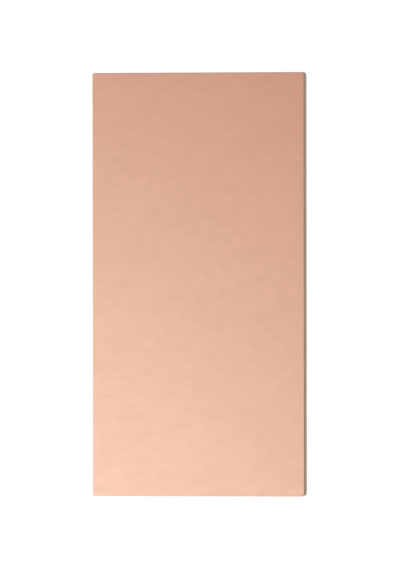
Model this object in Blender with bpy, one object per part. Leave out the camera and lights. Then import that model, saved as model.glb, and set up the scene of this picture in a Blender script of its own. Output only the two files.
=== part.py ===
"""Single-sided copper clad board, cut to size and not yet etched.

A sheet of glass-cloth epoxy laminate carries one copper foil, bonded over the whole of its
upper face. The board lies flat on its bare face: X across the width, Y along the length, +Z
out of the copper. The origin is the middle of the bare face.

The board was cut after the foil was pressed on, and its sharp edges were then broken with a
file. So the break is one slope that runs through the foil and on into the laminate, and the
copper stops a little short of the cut edge all round.
"""

import math

import bmesh
import bpy

MM = 0.001

BOARD_WIDTH = 100.0 * MM
BOARD_LENGTH = 200.0 * MM
LAMINATE_THICKNESS = 1.565 * MM
FOIL_THICKNESS = 0.035 * MM

# How far the file took each arris back, measured alike on the face and on the cut edge.
EDGE_BREAK = 0.12 * MM

# Corner radii of the copper. The cut edge runs round them further out by the edge break.
RIGHT_CORNER_RADIUS = 1.25 * MM
LEFT_CORNER_RADIUS = 0.12 * MM
CORNER_SEGMENTS = 8

# Faces that meet at less than this, in degrees, are shaded as one curve.
SMOOTH_ANGLE = 30.0

COPPER_COLOUR = (0.80, 0.48, 0.36, 1.0)
COPPER_ROUGHNESS = 0.42
LAMINATE_COLOUR = (0.46, 0.40, 0.22, 1.0)
LAMINATE_ROUGHNESS = 0.55


def clear_scene():
    """Take away whatever the file opened with."""
    for item in list(bpy.data.objects):
        bpy.data.objects.remove(item, do_unlink=True)


def make_material(name, colour, metallic, roughness):
    """Return a plain Principled BSDF material."""
    material = bpy.data.materials.new(name)
    material.use_nodes = True
    shader = material.node_tree.nodes["Principled BSDF"]
    shader.inputs["Base Color"].default_value = colour
    shader.inputs["Metallic"].default_value = metallic
    shader.inputs["Roughness"].default_value = roughness
    material.diffuse_color = colour
    return material


def outline(growth):
    """Return the copper's outline, moved outwards by growth, as points in XY.

    Each corner is an arc about a centre of its own, so outlines of different growth stay
    parallel and have the same number of points.
    """
    half_width = BOARD_WIDTH / 2 - EDGE_BREAK
    half_length = BOARD_LENGTH / 2 - EDGE_BREAK
    corners = (
        (1, 1, RIGHT_CORNER_RADIUS),
        (-1, 1, LEFT_CORNER_RADIUS),
        (-1, -1, LEFT_CORNER_RADIUS),
        (1, -1, RIGHT_CORNER_RADIUS),
    )
    points = []
    for quarter, (side, end, radius) in enumerate(corners):
        centre_x = side * (half_width - radius)
        centre_y = end * (half_length - radius)
        for step in range(CORNER_SEGMENTS + 1):
            angle = math.radians(90 * (quarter + step / CORNER_SEGMENTS))
            points.append((
                centre_x + (radius + growth) * math.cos(angle),
                centre_y + (radius + growth) * math.sin(angle),
            ))
    return points


def ring(shape, height, growth):
    """Lay one closed ring of edges at a height, and return its corners and edges."""
    corners = [shape.verts.new((x, y, height)) for x, y in outline(growth)]
    edges = [shape.edges.new(pair) for pair in zip(corners, corners[1:] + corners[:1])]
    return corners, edges


def loft(name, levels, material):
    """Return a solid skinned over outlines that lie one above the other.

    Each level is a height and the growth of the outline there, from the lowest up. The
    lowest and the highest outline are closed with a flat face.
    """
    shape = bmesh.new()
    rings = [ring(shape, height, growth) for height, growth in levels]
    for (_, lower), (_, upper) in zip(rings, rings[1:]):
        bmesh.ops.bridge_loops(shape, edges=lower + upper)
    for corners, _ in (rings[0], rings[-1]):
        shape.faces.new(corners)
    bmesh.ops.recalc_face_normals(shape, faces=shape.faces)

    mesh = bpy.data.meshes.new(name)
    shape.to_mesh(mesh)
    shape.free()
    mesh.materials.append(material)
    mesh.shade_smooth()
    mesh.set_sharp_from_angle(angle=math.radians(SMOOTH_ANGLE))
    solid = bpy.data.objects.new(name, mesh)
    bpy.context.collection.objects.link(solid)
    return solid


def build_laminate():
    """Make the glass-epoxy sheet, its arrises broken on both faces."""
    material = make_material("glass_epoxy", LAMINATE_COLOUR, 0.0, LAMINATE_ROUGHNESS)
    top_of_cut_edge = LAMINATE_THICKNESS + FOIL_THICKNESS - EDGE_BREAK
    levels = (
        (0.0, 0.0),
        (EDGE_BREAK, EDGE_BREAK),
        (top_of_cut_edge, EDGE_BREAK),
        (LAMINATE_THICKNESS, FOIL_THICKNESS),
    )
    return loft("laminate_sheet", levels, material)


def build_foil():
    """Make the copper, whose edge carries on the laminate's slope at 45 degrees."""
    material = make_material("copper", COPPER_COLOUR, 1.0, COPPER_ROUGHNESS)
    levels = (
        (LAMINATE_THICKNESS, FOIL_THICKNESS),
        (LAMINATE_THICKNESS + FOIL_THICKNESS, 0.0),
    )
    return loft("copper_foil", levels, material)


def main():
    clear_scene()
    build_laminate()
    build_foil()


main()
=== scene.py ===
"""Dresses a single-sided copper clad board and sets it out for its picture.

The board lies on its bare face with the copper up: X across, Y along, Z out of the copper.
Everything is in metres. The laminate's cut edge is modelled ply by ply and the foil's edge as
the file left it, and both get their grain, weave and wear from shader nodes.
"""

import math
from contextlib import contextmanager

import bmesh
import bpy
from mathutils import Matrix, Vector


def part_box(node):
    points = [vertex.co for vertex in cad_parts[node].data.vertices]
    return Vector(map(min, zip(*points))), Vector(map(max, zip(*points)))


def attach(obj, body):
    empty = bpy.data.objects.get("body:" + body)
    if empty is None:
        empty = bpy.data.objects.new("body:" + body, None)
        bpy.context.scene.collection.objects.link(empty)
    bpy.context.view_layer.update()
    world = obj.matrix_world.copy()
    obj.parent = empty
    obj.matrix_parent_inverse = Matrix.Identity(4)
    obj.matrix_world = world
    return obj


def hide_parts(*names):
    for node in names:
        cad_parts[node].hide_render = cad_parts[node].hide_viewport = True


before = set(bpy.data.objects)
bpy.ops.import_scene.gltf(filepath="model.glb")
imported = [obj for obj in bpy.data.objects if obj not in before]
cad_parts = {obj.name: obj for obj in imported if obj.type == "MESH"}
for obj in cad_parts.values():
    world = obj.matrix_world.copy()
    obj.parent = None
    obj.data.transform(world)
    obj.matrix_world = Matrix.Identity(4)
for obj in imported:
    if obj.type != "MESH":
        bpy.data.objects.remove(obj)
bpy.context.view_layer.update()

bl_info = {
    "name": "Copper clad board",
    "version": (1, 0, 0),
    "blender": (4, 5, 0),
    "location": "View3D > Sidebar > Board",
    "description": "Models a copper clad board, its finishes and its studio",
    "category": "Object",
}

MM = 0.001
BODY = "root"

# The solids, as they were packed.
SHEET_LOW, SHEET_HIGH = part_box("laminate_sheet")
FOIL_LOW, FOIL_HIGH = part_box("copper_foil")
FOIL_THICKNESS = FOIL_HIGH.z - FOIL_LOW.z
EDGE_BREAK = SHEET_HIGH.x - FOIL_HIGH.x + FOIL_THICKNESS

# Vertices closer than this count as being at the same place.
NEAR = 0.0005 * MM
SMOOTH_ANGLE = math.radians(30)

# A face that points up or down by less than this share counts as sloping or upright.
LEVEL = 0.9

IMAGE_HEIGHT = 570
SENSOR = 36.0


def length(name, description, default):
    """Return a property for a size that is a small part of a millimetre or more."""
    return bpy.props.FloatProperty(
        name=name, description=description, default=default, min=0.0, unit="LENGTH", precision=6)


def colour(name, description, default):
    """Return a property for a colour."""
    return bpy.props.FloatVectorProperty(
        name=name, description=description, default=(*default, 1.0), size=4, min=0.0, max=1.0,
        subtype="COLOR")


def position(name, description, default):
    """Return a property for where something hangs."""
    return bpy.props.FloatVectorProperty(
        name=name, description=description, default=default, size=3, subtype="TRANSLATION",
        unit="LENGTH")


class LaminateSettings(bpy.types.PropertyGroup):
    """Sizes and colours of the glass-epoxy sheet."""

    right_corner: length("Right corners", "Radius of the cut edge at the right", 1.37 * MM)
    left_corner: length("Left corners", "Radius of the cut edge at the left", 0.24 * MM)
    cell: length("Cell", "Length of one face along the edges", 2.0 * MM)
    joint_width: length("Ply joint width", "Width of the line between two plies", 0.030 * MM)
    joint_depth: length("Ply joint depth", "Depth of the line between two plies", 0.014 * MM)
    saw_wander: length("Saw wander", "How far the cut wanders inwards", 0.020 * MM)
    wander_pitch: length("Wander pitch", "Length of one wander of the saw", 6.0 * MM)
    warp_pitch: length("Warp pitch", "Spacing of the yarns along the board", 0.577 * MM)
    weft_pitch: length("Weft pitch", "Spacing of the yarns across the board", 0.794 * MM)
    plies: bpy.props.IntProperty(
        name="Plies", description="Layers of glass cloth in the sheet", default=8, min=2)
    resin: colour("Resin", "Epoxy between the yarns", (0.330, 0.285, 0.110))
    glass: colour("Glass", "Yarns under the epoxy", (0.560, 0.510, 0.290))
    cut_resin: colour("Cut resin", "Epoxy on the cut edge", (0.260, 0.200, 0.100))
    cut_glass: colour("Cut glass", "Yarn ends on the cut edge", (0.570, 0.480, 0.300))
    filed: colour("Filed slope", "Dusty laminate where the file went", (0.400, 0.310, 0.200))


class CopperSettings(bpy.types.PropertyGroup):
    """Sizes and colours of the foil."""

    file_wander: length("File wander", "How unevenly the file took the rim back", 0.006 * MM)
    wander_pitch: length("Wander pitch", "Length of one stroke's wander", 5.0 * MM)
    clean: colour("Clean copper", "Foil as it was made", (0.937, 0.638, 0.536))
    dulled: colour("Dulled copper", "Foil that begins to tarnish", (0.859, 0.572, 0.466))
    speck: colour("Specks", "Spots of oxide", (0.400, 0.230, 0.150))
    roughness: bpy.props.FloatProperty(
        name="Roughness", description="Roughness of the satin face", default=0.40, min=0.0,
        max=1.0, subtype="FACTOR")


class StageSettings(bpy.types.PropertyGroup):
    """The floor, the lights and the camera."""

    floor: colour("Floor", "Floor under the board", (0.700, 0.678, 0.656))
    floor_side: length("Floor side", "Length of the floor's side", 12.0)
    low: colour("Low light", "Light that comes in low over the floor", (0.780, 0.660, 0.560))
    walls: colour("Walls", "Light that the walls give above that", (0.480, 0.365, 0.290))
    ceiling: colour("Ceiling", "Light that the ceiling gives", (0.461, 0.250, 0.187))
    key_place: position("Key place", "Where the key lamp hangs", (-2.600, -0.605, 3.025))
    key_side: length("Key side", "Length of the key lamp's side", 0.35)
    key_tint: colour("Key tint", "Colour of the key lamp", (0.752, 0.887, 1.000))
    key_watts: bpy.props.FloatProperty(
        name="Key", description="Power of the lamp that throws the edge's shadow", default=268.5)
    sheen_place: position("Sheen place", "Where the soft box hangs", (-0.56, -0.64, 2.40))
    sheen_side: length("Sheen side", "Length of the soft box's side", 1.20)
    sheen_tint: colour("Sheen tint", "Colour of the soft box", (0.799, 1.000, 0.963))
    sheen_watts: bpy.props.FloatProperty(
        name="Sheen", description="Power of the soft box that the copper mirrors", default=10.66)
    camera_distance: length("Camera distance", "From the copper to the lens", 1.4)
    lean_right: bpy.props.FloatProperty(
        name="Lean right", description="How far the camera leans over the right edge",
        default=math.radians(3.0), subtype="ANGLE")
    lean_up: bpy.props.FloatProperty(
        name="Lean up", description="How far the camera leans over the far edge",
        default=math.radians(0.3), subtype="ANGLE")
    turn: bpy.props.FloatProperty(
        name="Turn", description="How far the camera is turned clockwise",
        default=math.radians(0.07), subtype="ANGLE")
    pixels_per_metre: bpy.props.FloatProperty(
        name="Pixels per metre", description="Scale of the picture at the copper", default=2116.5)
    board_right: bpy.props.FloatProperty(
        name="Board right", description="Pixels that the board lies right of the middle",
        default=-1.95)
    board_up: bpy.props.FloatProperty(
        name="Board up", description="Pixels that the board lies above the middle", default=0.2)


class Link:
    """An output socket. Python's operators on it add Math nodes."""

    def __init__(self, shader, socket):
        self.shader = shader
        self.socket = socket

    def maths(self, operation, *values):
        """Return the result of one Math node that works on these values."""
        settings = {"operation": operation}
        return self.shader.add("ShaderNodeMath", settings, dict(enumerate(values)))["Value"]

    def __add__(self, other):
        return self.maths("ADD", self, other)

    def __radd__(self, other):
        return self.maths("ADD", other, self)

    def __sub__(self, other):
        return self.maths("SUBTRACT", self, other)

    def __rsub__(self, other):
        return self.maths("SUBTRACT", other, self)

    def __mul__(self, other):
        return self.maths("MULTIPLY", self, other)

    def __rmul__(self, other):
        return self.maths("MULTIPLY", other, self)

    def __truediv__(self, other):
        return self.maths("DIVIDE", self, other)

    def __pow__(self, other):
        return self.maths("POWER", self, other)

    def __gt__(self, other):
        return self.maths("GREATER_THAN", self, other)

    def __abs__(self):
        return self.maths("ABSOLUTE", self)

    def sine(self):
        return self.maths("SINE", self)

    def floor(self):
        return self.maths("FLOOR", self)

    def fraction(self):
        return self.maths("FRACT", self)


class Outputs:
    """The outputs of one node, by name or by number."""

    def __init__(self, shader, node):
        self.shader = shader
        self.node = node

    def __getitem__(self, name):
        return Link(self.shader, self.node.outputs[name])


class Shader:
    """A material or a world, and the nodes that make it."""

    def __init__(self, name, owners=bpy.data.materials, last="Principled BSDF"):
        self.owner = owners.new(name)
        self.owner.use_nodes = True
        self.tree = self.owner.node_tree
        self.surface = self.tree.nodes[last]

    def add(self, kind, settings=None, values=None):
        """Add a node, give it its settings, and then set or link its inputs."""
        node = self.tree.nodes.new(kind)
        for name, value in (settings or {}).items():
            setattr(node, name, value)
        for name, value in (values or {}).items():
            self.feed(node.inputs[name], value)
        return Outputs(self, node)

    def feed(self, socket, value):
        """Link a socket, or set it where the value is plain."""
        if isinstance(value, Link):
            self.tree.links.new(value.socket, socket)
        else:
            socket.default_value = value

    def finish(self, values):
        """Feed the last node's sockets and return the material or world."""
        for name, value in values.items():
            self.feed(self.surface.inputs[name], value)
        return self.owner

    def place(self):
        """Return the object's own coordinates in millimetres."""
        metres = self.add("ShaderNodeTexCoord")["Object"]
        settings = {"operation": "SCALE"}
        return self.add("ShaderNodeVectorMath", settings, {0: metres, "Scale": 1 / MM})["Vector"]

    def split(self, vector):
        """Return the X, Y and Z of a vector."""
        parts = self.add("ShaderNodeSeparateXYZ", None, {0: vector})
        return parts["X"], parts["Y"], parts["Z"]

    def facing(self):
        """Return how far the surface faces along X, Y and Z, whichever way along each."""
        return [abs(part) for part in self.split(self.add("ShaderNodeTexCoord")["Normal"])]

    def stretched(self, place, scale, turn=0.0):
        """Return a place turned about Z and then scaled along each axis."""
        turned = self.add("ShaderNodeVectorRotate", {"rotation_type": "Z_AXIS"}, {
            "Vector": place, "Angle": turn})["Vector"]
        return self.add("ShaderNodeVectorMath", {"operation": "MULTIPLY"}, {
            0: turned, 1: scale})["Vector"]

    def noise(self, place, scale=1.0, detail=2.0, rough=0.5):
        """Return cloudy noise from 0 to 1, with scale in clouds for each millimetre."""
        return self.add("ShaderNodeTexNoise", None, {
            "Vector": place, "Scale": scale, "Detail": detail, "Roughness": rough})["Fac"]

    def chance(self, number, seed):
        """Return a random number from 0 to 1 for each whole number."""
        settings = {"noise_dimensions": "1D"}
        return self.add("ShaderNodeTexWhiteNoise", settings, {"W": number + seed})["Value"]

    def rise(self, value, low, high):
        """Return 0 below low, 1 above high and a smooth rise between."""
        settings = {"interpolation_type": "SMOOTHSTEP"}
        return self.add("ShaderNodeMapRange", settings, {
            "Value": value, "From Min": low, "From Max": high})["Result"]

    def mix(self, share, first, second):
        """Return the first colour turned into the second by a share of 0 to 1."""
        return self.add("ShaderNodeMix", {"data_type": "RGBA"}, {
            0: share, 6: first, 7: second})[2]

    def bump(self, height, depth, under=None):
        """Return the normal of a relief whose height of 0 to 1 is that many metres deep."""
        values = {"Height": height, "Distance": depth}
        if under is not None:
            values["Normal"] = under
        return self.add("ShaderNodeBump", None, values)["Normal"]


def weave(shader, across, along):
    """Return a plain weave's height, and 1 where the warp is on top or 0 where the weft is.

    across counts warp yarns and along counts weft yarns.
    """
    crossing = (across * math.pi).sine() * (along * math.pi).sine()
    return abs(crossing) ** 0.6, shader.rise(crossing, -0.12, 0.12)


def count_yarns(shader, place, cloth):
    """Return how many warp yarns lie across to a place, and how many weft yarns along to it."""
    x, y, _ = shader.split(place)
    drift = shader.noise(place, 0.22, 1.0) - 0.5
    across = (x + 0.5 * drift) / (cloth.warp_pitch / MM)
    along = (y + 0.5 * drift) / (cloth.weft_pitch / MM)
    return across, along


def copper_material(looks, cloth):
    """Satin foil: a soft mottle, fine grain across it, hairlines and faint specks.

    The cloth that the foil was pressed on shows through it, very faintly.
    """
    shader = Shader("satin_copper")
    place = shader.place()

    grain = shader.noise(shader.stretched(place, (0.18, 2.6, 1.0)), 1.0, 4.0, 0.6)
    mottle = shader.noise(shader.stretched(place, (0.16, 0.28, 1.0)), 1.0, 1.0)
    bands = shader.noise(shader.stretched(place, (0.020, 0.16, 1.0)), 1.0, 3.0)
    clouds = shader.noise(place, 0.035, 3.0)
    tooth = shader.noise(place, 7.0, 3.0, 0.65)
    hairlines = 0.0
    for turn, rarity in ((0.05, 0.66), (-0.60, 0.70)):
        line = shader.noise(shader.stretched(place, (0.03, 5.0, 1.0), turn), 1.0, 1.0)
        hairlines = hairlines + shader.rise(line, rarity, rarity + 0.08)
    cloth_height, _ = weave(shader, *count_yarns(shader, place, cloth))

    cell = shader.add("ShaderNodeTexVoronoi", {"feature": "F1"}, {"Vector": place, "Scale": 0.085})
    pick, size, _ = shader.split(cell["Color"])
    radius = 0.010 + 0.028 * size
    speck = (1 - shader.rise(cell["Distance"] / radius, 0.5, 1.0)) * (pick > 0.62)

    dull = 0.45 * grain + 0.62 * mottle + 0.06 * bands + 0.30 * clouds + 0.25 * hairlines
    tone = shader.mix(shader.rise(dull, 0.35, 1.25), tuple(looks.clean), tuple(looks.dulled))
    tone = shader.mix(0.15 * speck, tone, tuple(looks.speck))

    rough = looks.roughness + 0.10 * (grain - 0.5) + 0.06 * (tooth - 0.5) - 0.05 * hairlines
    relief = 0.50 * tooth + 0.35 * grain + 0.20 * cloth_height - 0.30 * hairlines
    return shader.finish({
        "Base Color": tone,
        "Metallic": 1.0,
        "Roughness": rough,
        "Normal": shader.bump(relief, 0.004 * MM),
    })


def cut_cloth(shader, yarns, level):
    """Return the cloth in a cut edge: where glass shows, and a tone of each yarn's own.

    yarns counts the yarns that the cut went through, which show as flat ends, and level
    counts plies. In each ply one more yarn runs along the cut, over and under the ends.
    """
    ply = level.floor()
    shifted = yarns + 9.0 * shader.chance(ply, 3.0)
    yarn = shifted.floor()
    side = (yarn * math.pi + math.pi / 2).sine()
    from_middle = shifted.fraction() - 0.5
    height = level.fraction() - 0.5
    spread = (from_middle / 0.45) ** 2 + ((height + 0.17 * side) / 0.21) ** 2
    ends = 1 - shader.rise(spread, 0.45, 1.25)
    long_yarn = 1 - shader.rise(abs(height - 0.25 * (shifted * math.pi).sine()), 0.07, 0.17)
    own_tone = shader.chance(yarn + 61.0 * ply, 17.0)
    return ends + (1 - ends) * 0.7 * long_yarn, own_tone


def laminate_material(looks, thickness):
    """Glass cloth in epoxy: weave on the bare face, and cut plies round the edge."""
    shader = Shader("glass_epoxy")
    place = shader.place()
    _, _, z = shader.split(place)
    faces_x, faces_y, faces_z = shader.facing()
    flat = shader.rise(faces_z, 0.88, 0.96)

    across, along = count_yarns(shader, place, looks)
    height, warp_on_top = weave(shader, across, along)
    warp_tone = shader.chance(across.floor(), 7.0)
    weft_tone = shader.chance(along.floor(), 31.0)
    yarn_tone = warp_on_top * warp_tone + (1 - warp_on_top) * weft_tone
    clouds = shader.noise(place, 0.05, 3.0)
    show = 0.55 * height + 0.16 * warp_on_top + 0.14 * yarn_tone + 0.25 * clouds
    face_tone = shader.mix(
        shader.rise(show, 0.15, 1.05), tuple(looks.resin), tuple(looks.glass))

    on_long_edge = faces_x > faces_y
    yarns = on_long_edge * along + (1 - on_long_edge) * across
    ripple = shader.noise(place, 0.9, 2.0) - 0.5
    level = z / (thickness / MM / looks.plies) + 0.35 * ripple
    glass, own_tone = cut_cloth(shader, yarns + 0.3 * ripple, level)
    saw = shader.noise(shader.stretched(place, (9.0, 9.0, 0.9)), 1.0, 3.0, 0.6)
    dust = shader.noise(place, 2.4, 3.0)
    cut = 0.42 * glass + 0.16 * glass * own_tone + 0.34 * saw + 0.34 * dust
    edge_tone = shader.mix(
        shader.rise(cut, 0.10, 1.10), tuple(looks.cut_resin), tuple(looks.cut_glass))

    slope = shader.rise(faces_z, 0.3, 0.6) * (1 - flat)
    edge_tone = shader.mix(
        slope * (0.65 + 0.35 * dust), edge_tone, tuple(looks.filed))

    face_rough = 0.36 + 0.12 * clouds + 0.08 * (1 - height)
    edge_rough = 0.62 + 0.25 * saw
    return shader.finish({
        "Base Color": shader.mix(flat, edge_tone, face_tone),
        "Metallic": 0.0,
        "Roughness": flat * face_rough + (1 - flat) * edge_rough,
        "Coat Weight": 0.35 * flat,
        "Normal": shader.bump(flat * height + (1 - flat) * (saw + glass), 0.010 * MM),
    })


def floor_material(looks):
    """Pale matt floor with the least unevenness in its tone."""
    shader = Shader("pale_floor")
    metres = shader.add("ShaderNodeTexCoord")["Object"]
    clouds = shader.noise(metres, 1.5, 2.0)
    shade = tuple(0.985 * part for part in looks.floor[:3]) + (1.0,)
    return shader.finish({
        "Base Color": shader.mix(clouds, tuple(looks.floor), shade),
        "Roughness": 0.8,
        "Specular IOR Level": 0.1,
    })


def room_light(looks):
    """Pale light low down all round, dimmer walls above it and a warmer ceiling."""
    shader = Shader("room", bpy.data.worlds, "Background")
    _, _, upward = shader.split(shader.add("ShaderNodeTexCoord")["Object"])
    sides = shader.mix(shader.rise(upward, 0.10, 0.55), tuple(looks.low), tuple(looks.walls))
    return shader.finish({
        "Color": shader.mix(shader.rise(upward, 0.70, 0.95), sides, tuple(looks.ceiling)),
    })


@contextmanager
def editing(piece):
    """Open a piece in edit mode, edge by edge, and leave edit mode afterwards."""
    bpy.ops.object.select_all(action="DESELECT")
    piece.select_set(True)
    bpy.context.view_layer.objects.active = piece
    bpy.ops.object.mode_set(mode="EDIT")
    bpy.ops.mesh.select_mode(type="EDGE")
    yield
    bpy.ops.object.mode_set(mode="OBJECT")


def select(piece, kind, wanted):
    """Select only the vertices, edges or faces that are wanted."""
    bpy.ops.mesh.select_mode(type={"verts": "VERT", "edges": "EDGE", "faces": "FACE"}[kind])
    bpy.ops.mesh.select_all(action="DESELECT")
    shape = bmesh.from_edit_mesh(piece.data)
    chosen = [item for item in getattr(shape, kind) if wanted(item)]
    if not chosen:
        raise RuntimeError(f"{piece.name}: none of its {kind} are where they should be")
    for item in chosen:
        item.select_set(True)
    shape.select_flush_mode()
    bmesh.update_edit_mesh(piece.data)


def at_height(item, height):
    """Say whether all of an edge or face lies at one height."""
    return all(abs(corner.co.z - height) < NEAR for corner in item.verts)


def on_rim(edge, height):
    """Say whether an edge lies where a level face at this height meets the side."""
    slopes = [abs(face.normal.z) for face in edge.link_faces]
    return at_height(edge, height) and min(slopes) < LEVEL


def model_sheet(name, low, high, cell, corners, segments=8):
    """Model a sheet from a grid: extrude it to its thickness and round its upright corners.

    corners pairs each side, -1 or 1 along X, with the radius of the two corners there.
    """
    width, depth = high.x - low.x, high.y - low.y
    bpy.ops.object.select_all(action="DESELECT")
    bpy.ops.mesh.primitive_grid_add(
        x_subdivisions=round(width / cell), y_subdivisions=round(depth / cell), size=1.0,
        location=(low.x + width / 2, low.y + depth / 2, low.z))
    piece = bpy.context.active_object
    piece.name = name
    piece.data.name = name
    bpy.ops.transform.resize(value=(width, depth, 1.0))
    bpy.ops.object.transform_apply(location=True, rotation=True, scale=True)

    with editing(piece):
        bpy.ops.mesh.select_all(action="SELECT")
        bpy.ops.mesh.extrude_region_move(
            TRANSFORM_OT_translate={"value": (0.0, 0.0, high.z - low.z)})
        for side, radius in corners:
            select(piece, "edges", lambda edge: all(
                side * corner.co.x > high.x - NEAR and abs(corner.co.y) > high.y - NEAR
                for corner in edge.verts))
            bpy.ops.mesh.bevel(offset=radius, segments=segments, affect="EDGES")
    return piece


def wander(piece, name, wanted, amount, pitch):
    """Let the chosen vertices wander inwards, as a saw or a file leaves them."""
    with editing(piece):
        select(piece, "verts", wanted)
        bpy.ops.object.vertex_group_add()
        piece.vertex_groups.active.name = name
        bpy.ops.object.vertex_group_assign()
    clouds = bpy.data.textures.new(name, "CLOUDS")
    clouds.noise_scale = pitch
    modifier = piece.modifiers.new(name, "DISPLACE")
    modifier.texture = clouds
    modifier.texture_coords = "LOCAL"
    modifier.vertex_group = name
    modifier.strength = amount
    modifier.mid_level = 1.0
    bpy.ops.object.modifier_apply(modifier=name)
    piece.vertex_groups.clear()
    bpy.data.textures.remove(clouds)


def dress(piece, material, node):
    """Shade a finished piece, and put it in the place of its solid."""
    bpy.ops.object.select_all(action="DESELECT")
    piece.select_set(True)
    bpy.context.view_layer.objects.active = piece
    bpy.ops.object.shade_smooth_by_angle(angle=SMOOTH_ANGLE)
    piece.data.materials.append(material)
    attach(piece, BODY)
    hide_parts(node)


def model_laminate(looks):
    """Model the laminate: broken arrises, and a line cut in where one ply meets the next."""
    corners = ((1, looks.right_corner), (-1, looks.left_corner))
    piece = model_sheet("laminate_board", SHEET_LOW, SHEET_HIGH, looks.cell, corners)
    ply = (SHEET_HIGH.z - SHEET_LOW.z) / looks.plies
    joints = [SHEET_LOW.z + ply * number for number in range(1, looks.plies)]
    with editing(piece):
        for height, break_back in (
            (SHEET_LOW.z, EDGE_BREAK), (SHEET_HIGH.z, EDGE_BREAK - FOIL_THICKNESS),
        ):
            select(piece, "edges", lambda edge: on_rim(edge, height))
            bpy.ops.mesh.bevel(offset=break_back, segments=1, affect="EDGES")
        for height in joints:
            bpy.ops.mesh.select_all(action="SELECT")
            bpy.ops.mesh.bisect(
                plane_co=(0.0, 0.0, height), plane_no=(0.0, 0.0, 1.0), threshold=NEAR)
            select(piece, "edges", lambda edge: at_height(edge, height))
            bpy.ops.mesh.bevel(offset=looks.joint_width / 2, segments=2, affect="EDGES")
            select(piece, "edges", lambda edge: at_height(edge, height))
            bpy.ops.transform.shrink_fatten(value=-looks.joint_depth)

    def on_cut(corner):
        return SHEET_LOW.z + NEAR < corner.co.z < SHEET_HIGH.z - NEAR

    wander(piece, "saw_cut", on_cut, looks.saw_wander, looks.wander_pitch)
    return piece


def model_foil(looks, laminate_looks):
    """Model the foil: its sides slope in to the face, along a rim that a file took back."""
    inset = EDGE_BREAK - FOIL_THICKNESS
    corners = (
        (1, laminate_looks.right_corner - inset),
        (-1, laminate_looks.left_corner - inset),
    )
    piece = model_sheet("copper_face", FOIL_LOW, FOIL_HIGH, laminate_looks.cell, corners)
    face_share = [1 - FOIL_THICKNESS / size for size in (FOIL_HIGH.x, FOIL_HIGH.y)]
    with editing(piece):
        select(piece, "faces", lambda face: at_height(face, FOIL_HIGH.z))
        bpy.ops.transform.resize(value=(*face_share, 1.0), center_override=(0.0, 0.0, 0.0))

    def on_face_rim(corner):
        return any(on_rim(edge, FOIL_HIGH.z) for edge in corner.link_edges)

    wander(piece, "filed_rim", on_face_rim, looks.file_wander, looks.wander_pitch)
    return piece


def area_lamp(name, watts, side, place, target, tint, mirrored):
    """Hang a square lamp that faces its target and that the camera doesn't see.

    mirrored says whether it shows as a reflection in what it lights.
    """
    lamp = bpy.data.lights.new(name, "AREA")
    lamp.energy = watts
    lamp.size = side
    lamp.color = tint[:3]
    item = bpy.data.objects.new(name, lamp)
    item.location = place
    item.rotation_euler = (target - Vector(place)).to_track_quat("-Z", "Y").to_euler()
    item.visible_camera = False
    item.visible_glossy = mirrored
    bpy.context.collection.objects.link(item)


def place_camera(looks):
    """Look down on the copper from a long way off, leaning over the right-hand edge."""
    lean = Vector((math.tan(looks.lean_right), math.tan(looks.lean_up), 1.0)).normalized()
    upright = Matrix.Rotation(-looks.turn, 3, lean) @ Vector((0.0, 1.0, 0.0))
    right = upright.cross(lean).normalized()
    up = lean.cross(right)
    middle = Vector((0.0, 0.0, FOIL_HIGH.z))
    aim = middle - (looks.board_right * right + looks.board_up * up) / looks.pixels_per_metre
    camera = bpy.data.cameras.new("camera")
    camera.sensor_width = SENSOR
    camera.lens = SENSOR * looks.camera_distance * looks.pixels_per_metre / IMAGE_HEIGHT
    item = bpy.data.objects.new("camera", camera)
    item.location = aim + lean * looks.camera_distance
    item.rotation_euler = Matrix((right, up, lean)).transposed().to_euler()
    bpy.context.collection.objects.link(item)
    bpy.context.scene.camera = item


class BOARD_OT_laminate(bpy.types.Operator):
    """Model the glass-epoxy sheet, ply by ply at its cut edge"""

    bl_idname = "board.laminate"
    bl_label = "Laminate"

    def execute(self, context):
        looks = context.scene.board_laminate
        piece = model_laminate(looks)
        material = laminate_material(looks, SHEET_HIGH.z - SHEET_LOW.z)
        dress(piece, material, "laminate_sheet")
        return {"FINISHED"}


class BOARD_OT_copper(bpy.types.Operator):
    """Model the copper foil on the laminate's upper face"""

    bl_idname = "board.copper"
    bl_label = "Copper foil"

    def execute(self, context):
        looks = context.scene.board_copper
        piece = model_foil(looks, context.scene.board_laminate)
        material = copper_material(looks, context.scene.board_laminate)
        dress(piece, material, "copper_foil")
        return {"FINISHED"}


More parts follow.
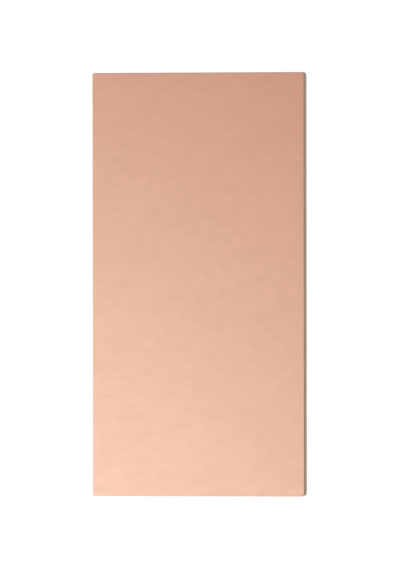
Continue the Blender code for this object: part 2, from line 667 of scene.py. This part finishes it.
class BOARD_OT_stage(bpy.types.Operator):
    """Lay the floor, hang the lights and place the camera"""

    bl_idname = "board.stage"
    bl_label = "Stage"

    def execute(self, context):
        looks = context.scene.board_stage
        bpy.ops.object.select_all(action="DESELECT")
        bpy.ops.mesh.primitive_plane_add(size=looks.floor_side, location=(0.0, 0.0, 0.0))
        floor = context.active_object
        floor.name = "floor"
        floor.data.materials.append(floor_material(looks))

        middle = Vector((0.0, 0.0, FOIL_HIGH.z))
        area_lamp(
            "key", looks.key_watts, looks.key_side, looks.key_place, middle, looks.key_tint,
            mirrored=False)
        area_lamp(
            "sheen", looks.sheen_watts, looks.sheen_side, looks.sheen_place, middle,
            looks.sheen_tint, mirrored=True)

        context.scene.world = room_light(looks)
        context.scene.view_settings.view_transform = "Standard"
        place_camera(looks)
        return {"FINISHED"}


class BOARD_PT_panel(bpy.types.Panel):
    """Lists the board's sizes, its finishes and the steps that make it"""

    bl_idname = "BOARD_PT_panel"
    bl_label = "Copper clad board"
    bl_space_type = "VIEW_3D"
    bl_region_type = "UI"
    bl_category = "Board"

    def draw(self, context):
        scene = context.scene
        for operator, settings in (
            (BOARD_OT_laminate, scene.board_laminate),
            (BOARD_OT_copper, scene.board_copper),
            (BOARD_OT_stage, scene.board_stage),
        ):
            box = self.layout.box()
            box.operator(operator.bl_idname)
            for name in settings.__annotations__:
                box.prop(settings, name)


SETTINGS = {
    "board_laminate": LaminateSettings,
    "board_copper": CopperSettings,
    "board_stage": StageSettings,
}
CLASSES = (
    *SETTINGS.values(), BOARD_OT_laminate, BOARD_OT_copper, BOARD_OT_stage, BOARD_PT_panel,
)


def register():
    for item in CLASSES:
        bpy.utils.register_class(item)
    for name, group in SETTINGS.items():
        setattr(bpy.types.Scene, name, bpy.props.PointerProperty(type=group))


def unregister():
    for name in SETTINGS:
        delattr(bpy.types.Scene, name)
    for item in reversed(CLASSES):
        bpy.utils.unregister_class(item)


def main():
    register()
    bpy.ops.board.laminate()
    bpy.ops.board.copper()
    bpy.ops.board.stage()


if __name__ == "__main__":
    main()
